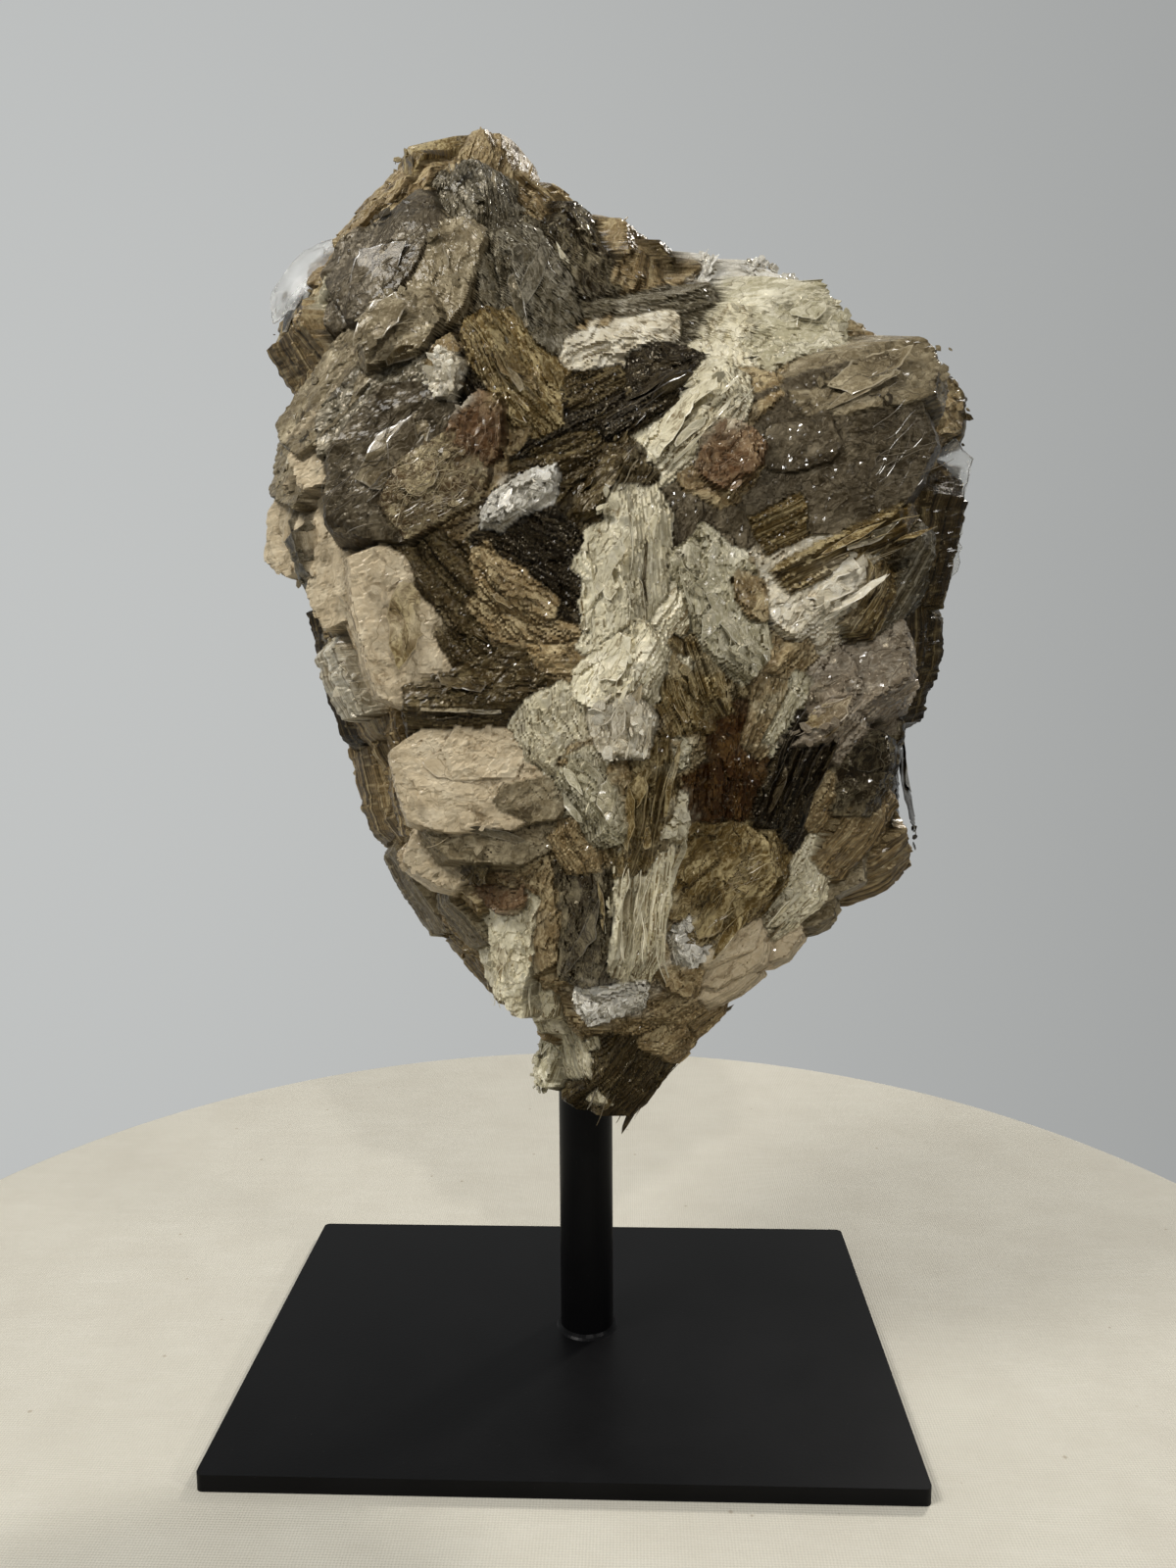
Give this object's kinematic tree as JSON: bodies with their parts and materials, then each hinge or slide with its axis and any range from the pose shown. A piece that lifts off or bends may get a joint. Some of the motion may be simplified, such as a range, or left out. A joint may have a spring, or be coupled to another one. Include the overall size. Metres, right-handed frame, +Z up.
{
  "type": "mica crystal on stand",
  "caption": "Natural mica cluster of intergrown silvery-brown crystal books, drilled and mounted on a round post above a flat rectangular black metal base plate.",
  "frame": {"origin": "centre of the base plate's underside, where the stand rests on a table", "axes": "+Z up through the post and the crystal, +X along the plate's long side to the viewer's right, -Y towards the viewer at the front"},
  "size_m": [0.1407, 0.089, 0.2416],
  "materials": {
    "stand_coat": "satin-matte black powder coat on steel, fine orange-peel texture",
    "weld_coat": "black powder coat over a small, slightly uneven weld seam",
    "mica": "pearly to silvery cleavage faces in grey-brown, beige, olive and gold, darker striated sheet edges"
  },
  "bodies": {
    "root": {"base_plate": "stand_coat", "post": "stand_coat", "weld_seam": "weld_coat", "mica_cluster": "mica"}
  },
  "joints": []
}
